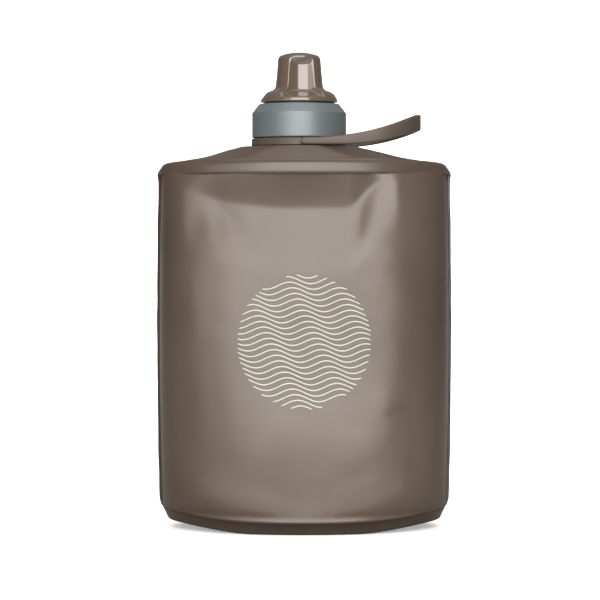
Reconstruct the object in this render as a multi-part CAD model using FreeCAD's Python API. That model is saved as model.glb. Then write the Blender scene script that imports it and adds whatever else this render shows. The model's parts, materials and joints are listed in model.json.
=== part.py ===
"""Collapsible half-litre water bottle: a bag of four welded films, a screw closure and a bail handle.

Millimetres, +Z up, origin on the floor under the middle of the bag. +X points the way the bail
handle lies, and -Y is the front of the bag.
"""

import FreeCAD
import Part

import math
import os

V = FreeCAD.Vector
UP = V(0, 0, 1)

# ------------------------------------------------------------------ the bag
FILM = 0.8                  # thickness of every film
SIDE_WELD = 1.2             # how far the side welds stand out
LAP_HEIGHT = 3.0            # height of the welded laps inside the wall
LAP_GAP = 0.1               # weld line between a lap and the wall
PARTING_GAP = 0.3           # gap at the shoulder weld, where the wall and the shoulder part in a collapse

BASE_HALF_WIDTH = 49.6      # wall at the base weld
BASE_HALF_DEPTH = 27.0
BELLY_HALF_WIDTH = 50.4     # wall at half height
BELLY_HALF_DEPTH = 28.5
RIM_HALF_WIDTH = 49.8       # wall at the shoulder weld
RIM_HALF_DEPTH = 25.0
BASE_RISE = 7.0             # floor to the wall's lower edge
BASE_INSET = 3.0            # how far the flat foot is set in from the wall
WALL_HEIGHT = 117.0
SHOULDER_RISE = 8.8         # wall's upper edge to the flat land round the neck
LAND_MARGIN = 1.4           # flat land beyond the neck flange that is welded under it

# ------------------------------------------------------------------ the neck
NECK_BORE = 10.4            # radius
NECK_WALL = 1.8
NECK_ABOVE_RING = 8.3       # room for the bead and the thread
NECK_FLANGE_WIDTH = 6.4
NECK_FLANGE = 1.2           # thickness
NECK_STARTS = 2
NECK_LEAD = 6.0             # rise per turn
NECK_THREAD_DEPTH = 1.1
NECK_THREAD_FOOT = 1.6      # ridge width where it leaves the wall
NECK_THREAD_CREST = 0.8
NECK_THREAD_TURNS = 0.55    # length of each ridge
NECK_LIP_BEVEL = 0.4
BEAD_HEIGHT = 1.0           # snap bead that keeps the handle ring on
BEAD_DEPTH = 0.9

# ------------------------------------------------------------------ the handle
RING_WIDTH = 4.0
RING_HEIGHT = 2.5
RING_EDGE_ROUND = 0.3
RING_PLAY = 0.3             # gap above and below the ring
RING_BORE_PLAY = 0.4        # gap between the ring and the neck
TRUNNION_RADIUS = 0.8
TRUNNION_PLAY = 0.08
TRUNNION_LENGTH = 1.5       # beyond the bail's inner face
PIVOT_X = 2.0               # the trunnions sit a little towards the bail's side
BAIL_SIDE_PLAY = 0.3        # gap between the bail's legs and the ring
BAIL_THICKNESS = 2.4
BAIL_CLEARS_CAP = 4.7       # gap to the cap's top as the bail swings over it
BAIL_END_HEIGHT = 5.6       # the band gets taller towards its far end
BAIL_END_RISE = 5.3         # the band curves up by this much
BAIL_STRAIGHT = 12.0        # its lower edge is straight as far as this

# ------------------------------------------------------------------ the closure
COLLAR_WALL = 2.75          # skirt, outside the thread's clearance
COLLAR_TOP = 3.1            # thickness of the web over the gasket
COLLAR_CHAMFER_IN = 2.45
COLLAR_CHAMFER_DOWN = 3.2
COLLAR_EDGE_ROUND = 0.35
GASKET_HEIGHT = 0.7
GASKET_INSET = 0.2          # how far the gasket stays inside the thread's crest
SEAL_INSET = 0.1            # how far a seal's bore stays outside the bore below it
THREAD_PLAY = 0.4           # gap between a thread crest and the wall it faces
THREAD_ROOT = 0.2           # how deep each ridge is rooted in its own wall
SPIGOT_PLAY = 0.25          # gap between the collar's inner tube and the neck bore
SPIGOT_WALL = 1.4
SPIGOT_DEPTH = 8.3          # top face to the lower end of the inner tube
CAP_STARTS = 2
CAP_LEAD = 5.0
CAP_THREAD_DEPTH = 0.8
CAP_THREAD_FOOT = 1.1
CAP_THREAD_CREST = 0.5
CAP_THREAD_TURNS = 0.6

CAP_SEAL_HEIGHT = 0.6
CAP_SEAL_WIDTH = 3.4
CAP_FLANGE_MARGIN = 0.5     # collar's top face seen outside the cap
CAP_FLANGE_EDGE = 1.1       # height of the upright edge
CAP_FLANGE_DRAFT = 0.3      # inward lean of that edge
CAP_FLANGE_SLOPE = 3.3      # rise of the flange from its edge to the knob
CAP_FLANGE_SHOULDER = 1.2   # inward step at the top of the flange's edge
KNOB_FOOT_WALL = 1.75       # outside the stem's seat
KNOB_TAPER = 1.0            # foot radius less top radius
KNOB_HEIGHT = 11.4
KNOB_DOME = 1.9
KNOB_EDGE_ROUND = 1.2
FLUTES = 3
FLUTE_TURN = 7.0            # degrees from the front to the first flute
FLUTE_RADIUS = 7.0
FLUTE_WALL = 1.9            # thickness left at the bottom of a flute
FLUTE_LOW_ROUND = 4.4
FLUTE_HIGH_ROUND = 1.8
FLUTE_BELOW_KNOB = 1.9
FLUTE_UNDER_TOP = 0.6
STEM_LENGTH = 8.4           # below the cap's flange
STEM_WALL = 1.65
STEM_BEVEL = 0.3            # on the lower rim
STEM_SEAT_WALL = 0.7        # wall of the stem's upper end, which sits in the cap
STEM_SEAT = 3.0             # depth of that seat
STEM_SEAT_GAP = 0.05        # weld line round the seat
KNOB_BORE_STEP = 2.5        # stem bore less knob bore, in radius
KNOB_ROOF = 2.6             # solid thickness under the dome

# ------------------------------------------------------------------ places that follow from those
wall_low = BASE_RISE
wall_high = wall_low + WALL_HEIGHT
land_top = wall_high + SHOULDER_RISE

neck_outer = NECK_BORE + NECK_WALL
neck_crest = neck_outer + NECK_THREAD_DEPTH
neck_flange = neck_outer + NECK_FLANGE_WIDTH
land_radius = neck_flange + LAND_MARGIN

ring_low = land_top + RING_PLAY
ring_high = ring_low + RING_HEIGHT
ring_middle = (ring_low + ring_high) / 2
ring_bore = neck_outer + RING_BORE_PLAY
ring_outer = ring_bore + RING_WIDTH
neck_top = ring_high + NECK_ABOVE_RING

collar_low = ring_high + RING_PLAY
collar_bore = neck_crest + THREAD_PLAY
collar_outer = collar_bore + COLLAR_WALL
gasket_low = neck_top
gasket_high = gasket_low + GASKET_HEIGHT
collar_high = gasket_high + COLLAR_TOP
spigot_outer = NECK_BORE - SPIGOT_PLAY
spigot_bore = spigot_outer - SPIGOT_WALL
spigot_low = collar_high - SPIGOT_DEPTH

stem_crest = spigot_bore - THREAD_PLAY
stem_outer = stem_crest - CAP_THREAD_DEPTH
stem_bore = stem_outer - STEM_WALL
stem_seat = stem_bore + STEM_SEAT_WALL
cap_low = collar_high + CAP_SEAL_HEIGHT
stem_low = cap_low - STEM_LENGTH
stem_thread_low = stem_low + CAP_THREAD_FOOT
spigot_thread_low = stem_thread_low + CAP_LEAD / CAP_STARTS / 2
neck_thread_low = neck_top - NECK_LEAD * NECK_THREAD_TURNS - NECK_THREAD_FOOT
collar_thread_low = neck_thread_low - NECK_LEAD / NECK_STARTS / 2

cap_flange = collar_outer - COLLAR_CHAMFER_IN - CAP_FLANGE_MARGIN
knob_low = cap_low + CAP_FLANGE_EDGE + CAP_FLANGE_SLOPE
knob_high = knob_low + KNOB_HEIGHT
knob_foot = stem_seat + STEM_SEAT_GAP + KNOB_FOOT_WALL
knob_top = knob_foot - KNOB_TAPER
knob_bore = stem_bore - KNOB_BORE_STEP
flute_least = knob_bore + FLUTE_WALL

bail_inner = ring_outer + BAIL_SIDE_PLAY
bail_outer = bail_inner + BAIL_THICKNESS
cap_swing = math.hypot(knob_high + KNOB_DOME - ring_middle, PIVOT_X)    # pivot to the cap's top
bail_round = bail_inner - math.sqrt(bail_inner ** 2 - knob_top ** 2)    # what the round end takes from that
bail_reach = cap_swing + BAIL_CLEARS_CAP + bail_round + BAIL_THICKNESS


# ------------------------------------------------------------------ helpers
def turned(points):
    """A solid turned about Z from a closed outline of (radius, height) corners."""
    wire = Part.makePolygon([V(r, 0, z) for r, z in points + points[:1]])
    return Part.Face(wire).revolve(V(0, 0, 0), UP, 360)


def tube(outer, inner, low, high):
    """An upright round tube."""
    whole = Part.makeCylinder(outer, high - low, V(0, 0, low))
    return whole.cut(Part.makeCylinder(inner, high - low, V(0, 0, low)))


def oval_wire(half_width, half_depth, height):
    """A level ellipse round the Z axis, its long axis along X."""
    return Part.Wire([Part.Ellipse(V(0, 0, height), half_width, half_depth).toShape()])


def oval_loft(sections):
    """A solid with straight sides from one level ellipse (half width, half depth, height) to the next."""
    return Part.makeLoft([oval_wire(*s) for s in sections], True, True)


def helical_ridge(root, crest, foot_width, crest_width, lead, turns, low):
    """A right-handed thread ridge, from the radius root to the radius crest, that begins at height low."""
    spine = Part.Wire(Part.makeHelix(lead, lead * turns, root).Edges)
    corners = [(root, -foot_width / 2), (crest, -crest_width / 2), (crest, crest_width / 2), (root, foot_width / 2)]
    profile = Part.makePolygon([V(r, 0, z) for r, z in corners + corners[:1]])
    ridge = spine.makePipeShell([profile], True, True)
    ridge.translate(V(0, 0, low))
    return ridge


def circles(body, radius, height):
    """The level circular edges of body with that radius at that height."""
    return [
        e for e in body.Edges
        if abs(e.BoundBox.ZMin - height) < 1e-5 and abs(e.BoundBox.ZMax - height) < 1e-5
        and abs(e.Curve.Radius - radius) < 1e-5
    ]


def with_neck_thread(body, root, crest, low):
    """body with the neck's thread fused on, a ridge at each start."""
    for start in range(NECK_STARTS):
        ridge = helical_ridge(root, crest, NECK_THREAD_FOOT, NECK_THREAD_CREST, NECK_LEAD, NECK_THREAD_TURNS, low)
        ridge.rotate(V(0, 0, 0), UP, 360.0 * start / NECK_STARTS)
        body = body.fuse(ridge)
    return body.removeSplitter()


def with_cap_thread(body, root, crest, low):
    """body with the cap's thread fused on, a ridge at each start."""
    for start in range(CAP_STARTS):
        ridge = helical_ridge(root, crest, CAP_THREAD_FOOT, CAP_THREAD_CREST, CAP_LEAD, CAP_THREAD_TURNS, low)
        ridge.rotate(V(0, 0, 0), UP, 360.0 * start / CAP_STARTS)
        body = body.fuse(ridge)
    return body.removeSplitter()


# ------------------------------------------------------------------ bag films
def wall_section(half_width, half_depth, height):
    """Outline of the front film at one height: half an oval one film thick, with a weld strip at each side."""
    weld_x = half_width + SIDE_WELD
    meet = math.asin(FILM / half_depth)
    outer = Part.Ellipse(V(0, 0, height), half_width, half_depth)
    inner = Part.Ellipse(V(0, 0, height), half_width - FILM, half_depth - FILM)
    outer_arc = Part.Arc(outer, math.pi + meet, 2 * math.pi - meet).toShape()
    inner_arc = Part.Arc(inner, math.pi, 2 * math.pi).toShape()
    left, right = outer_arc.Vertexes[0].Point, outer_arc.Vertexes[-1].Point
    in_left, in_right = inner_arc.Vertexes[0].Point, inner_arc.Vertexes[-1].Point
    corners = [
        (in_left, V(-weld_x, 0, height)),
        (V(-weld_x, 0, height), V(-weld_x, left.y, height)),
        (V(-weld_x, left.y, height), left),
        None,
        (right, V(weld_x, right.y, height)),
        (V(weld_x, right.y, height), V(weld_x, 0, height)),
        (V(weld_x, 0, height), in_right),
    ]
    edges = [outer_arc if c is None else Part.LineSegment(*c).toShape() for c in corners]
    return Part.Wire(edges + [inner_arc])


def front_panel():
    """Front film of the wall, bellied a little, with a weld strip down each side."""
    sections = [
        (BASE_HALF_WIDTH, BASE_HALF_DEPTH, wall_low),
        (BELLY_HALF_WIDTH, BELLY_HALF_DEPTH, (wall_low + wall_high) / 2),
        (RIM_HALF_WIDTH, RIM_HALF_DEPTH, wall_high),
    ]
    return Part.makeLoft([wall_section(*s) for s in sections], True, False)


def back_panel():
    """Back film, the front film's mirror image."""
    return front_panel().mirror(V(0, 0, 0), V(0, 1, 0))


def base_panel():
    """Formed base film: a flat foot, a sloping edge up to the wall, and a lap welded inside the wall."""
    edge_top = wall_low - LAP_GAP
    lap_in = FILM + LAP_GAP
    foot = (BASE_HALF_WIDTH - BASE_INSET, BASE_HALF_DEPTH - BASE_INSET)
    lap = (BASE_HALF_WIDTH - lap_in, BASE_HALF_DEPTH - lap_in)
    outside = oval_loft([(*foot, 0), (BASE_HALF_WIDTH, BASE_HALF_DEPTH, edge_top - FILM)])
    outside = outside.fuse(
        oval_loft([(BASE_HALF_WIDTH, BASE_HALF_DEPTH, edge_top - FILM), (BASE_HALF_WIDTH, BASE_HALF_DEPTH, edge_top)])
    )
    outside = outside.fuse(oval_loft([(*lap, edge_top), (*lap, wall_low + LAP_HEIGHT)]))
    hollow_foot = (foot[0] - FILM, foot[1] - FILM, FILM)
    hollow_lap = (lap[0] - FILM, lap[1] - FILM)
    inside = oval_loft([hollow_foot, (*hollow_lap, edge_top - FILM)])
    inside = inside.fuse(oval_loft([(*hollow_lap, edge_top - FILM), (*hollow_lap, wall_low + 2 * LAP_HEIGHT)]))
    return outside.cut(inside).removeSplitter()


def top_panel():
    """Shoulder film: a lap inside the wall, a rounded rim, and a tent that rises to the land round the neck."""
    rim_low = wall_high + PARTING_GAP
    rise = land_top - wall_high
    lap_in = FILM + PARTING_GAP
    lap = (RIM_HALF_WIDTH - lap_in, RIM_HALF_DEPTH - lap_in)
    rim_round = rise * 0.33
    tent = [
        (RIM_HALF_WIDTH, RIM_HALF_DEPTH, rim_low),
        (RIM_HALF_WIDTH - 0.4 * rim_round, RIM_HALF_DEPTH - 0.2 * rim_round, rim_low + 0.7 * rim_round),
        (RIM_HALF_WIDTH - 2.0 * rim_round, RIM_HALF_DEPTH - 0.6 * rim_round, rim_low + 1.5 * rim_round),
        ((RIM_HALF_WIDTH + land_radius) / 2, (RIM_HALF_DEPTH + land_radius) / 2, land_top - 0.3 * rise),
        (land_radius, land_radius, land_top),
    ]
    hollow = [(lap[0] - FILM, lap[1] - FILM, rim_low)]
    hollow += [(a - 2 * FILM, b - 2 * FILM, z - FILM) for a, b, z in tent[1:-1]]
    hollow += [(land_radius - FILM, land_radius - FILM, land_top - FILM)]
    lap_low = wall_high - LAP_HEIGHT
    shell = oval_loft(tent).fuse(oval_loft([(*lap, lap_low), (*lap, rim_low)]))
    shell = shell.cut(oval_loft(hollow))
    shell = shell.cut(oval_loft([(hollow[0][0], hollow[0][1], lap_low), hollow[0]]))
    hole = Part.makeCylinder(neck_outer, 4 * FILM, V(0, 0, land_top - 2 * FILM))
    return shell.cut(hole).removeSplitter()


# ------------------------------------------------------------------ neck and handle
def neck_fitment():
    """Moulded neck: a flange welded under the shoulder film, a snap bead and a two-start thread."""
    flange_top = land_top - FILM
    bead_low = ring_high + RING_PLAY / 2
    body = turned([
        (NECK_BORE, flange_top - NECK_FLANGE),
        (neck_flange, flange_top - NECK_FLANGE),
        (neck_flange, flange_top),
        (neck_outer, flange_top),
        (neck_outer, bead_low),
        (neck_outer + BEAD_DEPTH, bead_low),
        (neck_outer + BEAD_DEPTH, bead_low + 0.5 * BEAD_HEIGHT),
        (neck_outer, bead_low + BEAD_HEIGHT),
        (neck_outer, neck_top - NECK_LIP_BEVEL),
        (neck_outer - NECK_LIP_BEVEL, neck_top),
        (NECK_BORE, neck_top),
    ])
    return with_neck_thread(body, neck_outer - THREAD_ROOT, neck_crest, neck_thread_low)


def handle_ring():
    """Ring that turns freely on the neck, with a trunnion at the front and the back for the bail."""
    ring = tube(ring_outer, ring_bore, ring_low, ring_high)
    for height in (ring_low, ring_high):
        ring = ring.makeFillet(RING_EDGE_ROUND, circles(ring, ring_outer, height))
    for side in (-1, 1):
        inside_ring = (ring_bore + ring_outer) / 2
        length = bail_inner + TRUNNION_LENGTH - inside_ring
        start = V(PIVOT_X, side * inside_ring, ring_middle)
        ring = ring.fuse(Part.makeCylinder(TRUNNION_RADIUS, length, start, V(0, side, 0)))
    return ring.removeSplitter()


def bail_handle():
    """Bail: a U-shaped band whose legs snap onto the trunnions, taller and curved up at its far end."""
    end_x = PIVOT_X + bail_reach
    bend_x = end_x - bail_outer
    tall = 2 * (BAIL_END_HEIGHT + BAIL_END_RISE) + RING_HEIGHT
    low = V(PIVOT_X - RING_HEIGHT, -bail_outer, ring_low - tall / 2)
    plan = Part.makeBox(bend_x - low.x, 2 * bail_outer, tall, low)
    plan = plan.fuse(Part.makeCylinder(bail_outer, tall, V(bend_x, 0, low.z)))
    hollow_length = bend_x - low.x + RING_HEIGHT
    plan = plan.cut(Part.makeBox(hollow_length, 2 * bail_inner, tall, V(low.x - RING_HEIGHT, -bail_inner, low.z)))
    plan = plan.cut(Part.makeCylinder(bail_inner, tall, V(bend_x, 0, low.z)))

    def rising_arc(start_x, start_z, rise):
        """Arc that leaves (start_x, start_z) level and has climbed by rise at the far end."""
        run = end_x - start_x
        radius = (run * run + rise * rise) / (2 * rise)
        mid_x = start_x + run / 2
        mid_z = start_z + radius - math.sqrt(radius * radius - run * run / 4)
        points = V(start_x, 0, start_z), V(mid_x, 0, mid_z), V(end_x, 0, start_z + rise)
        return Part.Arc(*points).toShape()

    bottom_start = V(PIVOT_X + BAIL_STRAIGHT, 0, ring_low)
    top_rise = BAIL_END_RISE + BAIL_END_HEIGHT - RING_HEIGHT
    nose = Part.Arc(
        V(PIVOT_X, 0, ring_high), V(PIVOT_X - RING_HEIGHT / 2, 0, ring_middle), V(PIVOT_X, 0, ring_low)
    ).toShape()
    side = Part.Wire([
        nose,
        Part.LineSegment(V(PIVOT_X, 0, ring_low), bottom_start).toShape(),
        rising_arc(bottom_start.x, ring_low, BAIL_END_RISE),
        Part.LineSegment(
            V(end_x, 0, ring_low + BAIL_END_RISE), V(end_x, 0, ring_high + top_rise)
        ).toShape(),
        rising_arc(PIVOT_X, ring_high, top_rise),
    ])
    profile = Part.Face(side)
    profile.translate(V(0, -bail_outer - 1, 0))
    bail = plan.common(profile.extrude(V(0, 2 * bail_outer + 2, 0)))
    for hand in (-1, 1):
        depth = TRUNNION_LENGTH + BAIL_SIDE_PLAY
        start = V(PIVOT_X, hand * (bail_inner - 1), ring_middle)
        bail = bail.cut(Part.makeCylinder(TRUNNION_RADIUS + TRUNNION_PLAY, depth + 1, start, V(0, hand, 0)))
    return bail.removeSplitter()


# ------------------------------------------------------------------ closure
def neck_gasket():
    """Flat ring that the collar presses on the neck's lip."""
    return tube(neck_crest - GASKET_INSET, NECK_BORE + SEAL_INSET, gasket_low, gasket_high)


def collar():
    """Screw collar: a threaded skirt outside the neck, and a threaded spigot inside it that takes the cap."""
    skirt_top = gasket_high
    body = turned([
        (spigot_bore, spigot_low),
        (spigot_outer, spigot_low),
        (spigot_outer, skirt_top),
        (collar_bore, skirt_top),
        (collar_bore, collar_low),
        (collar_outer, collar_low),
        (collar_outer, collar_high - COLLAR_CHAMFER_DOWN),
        (collar_outer - COLLAR_CHAMFER_IN, collar_high),
        (spigot_bore, collar_high),
    ])
    body = body.makeFillet(COLLAR_EDGE_ROUND, circles(body, collar_outer, collar_high - COLLAR_CHAMFER_DOWN))
    body = body.makeFillet(COLLAR_EDGE_ROUND, circles(body, collar_outer - COLLAR_CHAMFER_IN, collar_high))
    body = body.makeFillet(COLLAR_EDGE_ROUND, circles(body, collar_outer, collar_low))
    body = with_neck_thread(body, collar_bore + THREAD_ROOT, neck_outer + THREAD_PLAY, collar_thread_low)
    return with_cap_thread(body, spigot_bore + THREAD_ROOT, stem_outer + THREAD_PLAY, spigot_thread_low)


def cap_seal():
    """Flat ring between the cap's flange and the collar's top face."""
    return tube(spigot_bore + CAP_SEAL_WIDTH, spigot_bore + SEAL_INSET, collar_high, cap_low)


def flute_cutter():
    """Upright round cutter with a rounded foot and a rounded head, at the front of the knob."""
    low = knob_low - FLUTE_BELOW_KNOB
    high = knob_high - FLUTE_UNDER_TOP
    slant = math.sqrt(0.5)
    low_corner = V(FLUTE_RADIUS - FLUTE_LOW_ROUND, 0, low + FLUTE_LOW_ROUND)
    high_corner = V(FLUTE_RADIUS - FLUTE_HIGH_ROUND, 0, high - FLUTE_HIGH_ROUND)
    low_arc = Part.Arc(
        V(low_corner.x, 0, low),
        low_corner + V(slant, 0, -slant) * FLUTE_LOW_ROUND,
        V(FLUTE_RADIUS, 0, low_corner.z),
    )
    high_arc = Part.Arc(
        V(FLUTE_RADIUS, 0, high_corner.z),
        high_corner + V(slant, 0, slant) * FLUTE_HIGH_ROUND,
        V(high_corner.x, 0, high),
    )
    outline = Part.Wire([
        Part.LineSegment(V(0, 0, low), V(low_corner.x, 0, low)).toShape(),
        low_arc.toShape(),
        Part.LineSegment(V(FLUTE_RADIUS, 0, low_corner.z), V(FLUTE_RADIUS, 0, high_corner.z)).toShape(),
        high_arc.toShape(),
        Part.LineSegment(V(high_corner.x, 0, high), V(0, 0, high)).toShape(),
        Part.LineSegment(V(0, 0, high), V(0, 0, low)).toShape(),
    ])
    cutter = Part.Face(outline).revolve(V(0, 0, 0), UP, 360)
    cutter.translate(V(0, -flute_least - FLUTE_RADIUS, 0))
    return cutter


def cap():
    """Cap: a fluted knob on a sloping flange, hollow, with a seat for its stem."""
    flange_shoulder_z = cap_low + CAP_FLANGE_EDGE + 0.4 * CAP_FLANGE_SLOPE
    apex = V(0, 0, knob_high + KNOB_DOME)
    roof = apex.z - KNOB_ROOF
    dome_radius = (knob_top ** 2 + KNOB_DOME ** 2) / (2 * KNOB_DOME)
    dome_mid_z = apex.z - dome_radius + math.sqrt(dome_radius ** 2 - knob_top ** 2 / 4)
    dome = Part.Arc(V(knob_top, 0, knob_high), V(knob_top / 2, 0, dome_mid_z), apex)
    socket = stem_seat + STEM_SEAT_GAP
    corners = [
        V(0, 0, roof),
        V(knob_bore, 0, roof),
        V(knob_bore, 0, cap_low + STEM_SEAT),
        V(socket, 0, cap_low + STEM_SEAT),
        V(socket, 0, cap_low),
        V(cap_flange, 0, cap_low),
        V(cap_flange - CAP_FLANGE_DRAFT, 0, cap_low + CAP_FLANGE_EDGE),
        V(cap_flange - CAP_FLANGE_SHOULDER, 0, flange_shoulder_z),
        V(knob_foot, 0, knob_low),
        V(knob_top, 0, knob_high),
    ]
    edges = [Part.LineSegment(a, b).toShape() for a, b in zip(corners, corners[1:])]
    edges += [dome.toShape(), Part.LineSegment(apex, corners[0]).toShape()]
    body = Part.Face(Part.Wire(edges)).revolve(V(0, 0, 0), UP, 360)
    body = body.makeFillet(KNOB_EDGE_ROUND, circles(body, knob_top, knob_high))
    for flute in range(FLUTES):
        cutter = flute_cutter()
        cutter.rotate(V(0, 0, 0), UP, FLUTE_TURN + 360.0 * flute / FLUTES)
        body = body.cut(cutter)
    return body


def cap_stem():
    """Hollow plug welded into the cap, with the two-start thread that holds the cap in the collar."""
    body = turned([
        (stem_bore, stem_low),
        (stem_outer - STEM_BEVEL, stem_low),
        (stem_outer, stem_low + STEM_BEVEL),
        (stem_outer, cap_low),
        (stem_seat, cap_low),
        (stem_seat, cap_low + STEM_SEAT),
        (stem_bore, cap_low + STEM_SEAT),
    ])
    return with_cap_thread(body, stem_outer - THREAD_ROOT, stem_crest, stem_thread_low)


# ------------------------------------------------------------------ all of it
def build():
    """Every piece of the bottle, by node name."""
    return {
        "front_panel": front_panel(),
        "back_panel": back_panel(),
        "base_panel": base_panel(),
        "top_panel": top_panel(),
        "neck_fitment": neck_fitment(),
        "handle_ring": handle_ring(),
        "bail_handle": bail_handle(),
        "neck_gasket": neck_gasket(),
        "collar": collar(),
        "cap_seal": cap_seal(),
        "cap": cap(),
        "cap_stem": cap_stem(),
    }


os.makedirs("parts", exist_ok=True)
for node, shape in build().items():
    shape.exportStep(f"parts/{node}.step")
    box = shape.optimalBoundingBox()
    print(f"{node:13s} valid {shape.isValid()}, solids {len(shape.Solids)}, volume {shape.Volume:8.1f}")
    print(f"  x {box.XMin:7.2f} {box.XMax:7.2f}   y {box.YMin:7.2f} {box.YMax:7.2f}   z {box.ZMin:7.2f} {box.ZMax:7.2f}")
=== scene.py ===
"""A soft, collapsible half-litre water bottle: a bag of four welded films, a screw closure and a bail."""

import bpy
import json
import math
import numpy as np
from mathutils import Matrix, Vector, noise


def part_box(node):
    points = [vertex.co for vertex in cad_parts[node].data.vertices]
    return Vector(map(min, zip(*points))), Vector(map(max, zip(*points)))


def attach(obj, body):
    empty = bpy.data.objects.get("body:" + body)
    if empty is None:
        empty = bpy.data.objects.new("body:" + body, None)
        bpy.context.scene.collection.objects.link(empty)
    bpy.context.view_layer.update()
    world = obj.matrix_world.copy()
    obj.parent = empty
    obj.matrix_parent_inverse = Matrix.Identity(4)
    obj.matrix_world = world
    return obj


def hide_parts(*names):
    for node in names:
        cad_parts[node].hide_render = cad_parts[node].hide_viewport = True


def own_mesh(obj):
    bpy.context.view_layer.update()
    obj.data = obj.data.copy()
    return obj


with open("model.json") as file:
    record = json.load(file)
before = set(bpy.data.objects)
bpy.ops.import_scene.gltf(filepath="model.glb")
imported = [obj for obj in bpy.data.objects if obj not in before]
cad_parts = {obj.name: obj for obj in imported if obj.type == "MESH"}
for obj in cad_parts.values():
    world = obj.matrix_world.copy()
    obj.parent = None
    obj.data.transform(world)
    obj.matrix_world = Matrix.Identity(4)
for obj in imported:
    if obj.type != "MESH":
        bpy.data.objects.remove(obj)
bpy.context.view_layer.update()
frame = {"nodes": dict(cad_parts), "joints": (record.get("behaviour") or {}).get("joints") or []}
MM = 0.001

# ---------------------------------------------------------------- front and back films
# The bag's wall is two sheets of smoky elastomer film, welded to each other down both sides. They are limp:
# the wall bellies out, sinks in under the stiff rim, and carries a few soft dents.

FILM = 0.8 * MM
SIDE_WELD = 1.2 * MM
FILM_SEED = {-1: 2.0, 1: 4.0}           # the two films are creased differently
WELD_THICKNESS = 0.45 * MM
WELD_BLEND = 0.5 * MM                   # rounding between the belly and the side welds
HEM, HEM_HEIGHT = 0.3 * MM, 0.8 * MM    # the welded hem along the base seam stands out a little
BAG_LEAN = 1.75 * MM                    # the limp bag stands a little to one side of its neck
SEAM_MIDDLE = 4.3 * MM                  # base seam at the front, and at the two ends of the oval
SEAM_ENDS = 7.3 * MM
FOOT_FULL = 1.8 * MM                    # how far the water pushes the foot out
WALL_TUCK = 1.4 * MM                    # the wall runs this far up inside the rim
WELD_NOTCH = 11.0                       # in mm, size of the uneven places along the side welds

# The wall's hollow, bulge, flare and creases, in mm, as the wall stands out from its plain oval.
VALLEY_HEIGHT = 110.4                   # bottom of the hollow under the rim
VALLEY_DEPTH = 4.4
VALLEY_START = 22.0                     # the hollow starts this far below its bottom
VALLEY_END = 126.0                      # and has run out at this height
VALLEY_LIFT = 9.0                       # its bottom climbs by this much to the right
VALLEY_CURL = 1.05e-6                   # and by this times the fourth power of the distance to the left
BULGE = 2.6                             # how far the water pushes the lower half of the wall out
BULGE_HEIGHT, BULGE_SPREAD = 24.0, 25.0
FLARE, FLARE_RISE = 0.8, 14.0           # the wall flares out just above the base seam
BROAD_CREASE, BROAD_SIZE = 0.42, 26.0
FINE_CREASE, FINE_SIZE = 0.07, 8.0
DENTS = (                               # x, z, half width, half height, depth and slant of each dent
    (-25.0, 108.0, 5.0, 2.4, 0.28, -0.55),
    (-38.0, 104.0, 4.0, 9.0, 0.45, 0.20),
    (24.0, 97.0, 5.0, 2.0, 0.16, -0.40),
    (20.0, 21.0, 9.0, 3.2, 0.34, 0.35),
    (-16.0, 17.0, 12.0, 3.4, 0.26, -0.25),
    (39.0, 25.0, 4.0, 7.0, 0.60, 0.30),
    (-42.0, 30.0, 3.0, 10.0, 0.35, -0.10),
    (36.0, 44.0, 7.0, 2.2, 0.30, 0.50),
)

wall_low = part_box("front_panel")[0].z
wall_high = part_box("front_panel")[1].z
belly = (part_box("front_panel")[1].x - SIDE_WELD, -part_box("front_panel")[0].y)
foot_weld = (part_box("base_panel")[1].x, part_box("base_panel")[1].y + FOOT_FULL)
rim_weld = (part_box("top_panel")[1].x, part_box("top_panel")[1].y)
wall_height = wall_high - wall_low


def smooth(low, high, value):
    """0 below low, 1 above high, and a smooth step between."""
    t = np.clip((value - low) / (high - low), 0.0, 1.0)
    return t * t * (3 - 2 * t)


def bag_oval(z):
    """Half width and half depth of the bag at a height: a parabola through both welds and the belly."""
    t = np.clip((z - wall_low) / wall_height, -0.05, 1.05)
    at_foot, at_belly, at_rim = (1 - t) * (1 - 2 * t), 4 * t * (1 - t), t * (2 * t - 1)
    return [at_foot * f + at_belly * b + at_rim * r for f, b, r in zip(foot_weld, belly, rim_weld)]


def fullness(z):
    """Exponent of the oval: plain at the two welds, squarer at the belly, where the front lies flatter."""
    t = np.clip((z - wall_low) / wall_height, 0.0, 1.0)
    return 2.0 + 0.85 * (4 * t * (1 - t)) ** 0.6


def seam_height(share):
    """Height of the base seam, lowest at the front and back. share is the distance out, 0 to 1."""
    return SEAM_MIDDLE + (SEAM_ENDS - SEAM_MIDDLE) * np.abs(share) ** 2.6


def ripple(x, z, size, seed):
    """Smooth random height, about -1 to 1, with bumps of about this size."""
    points = np.stack([x / size, z / size, np.full_like(x, seed)], -1).reshape(-1, 3)
    return np.array([noise.noise(Vector(p)) for p in points]).reshape(x.shape)


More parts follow.
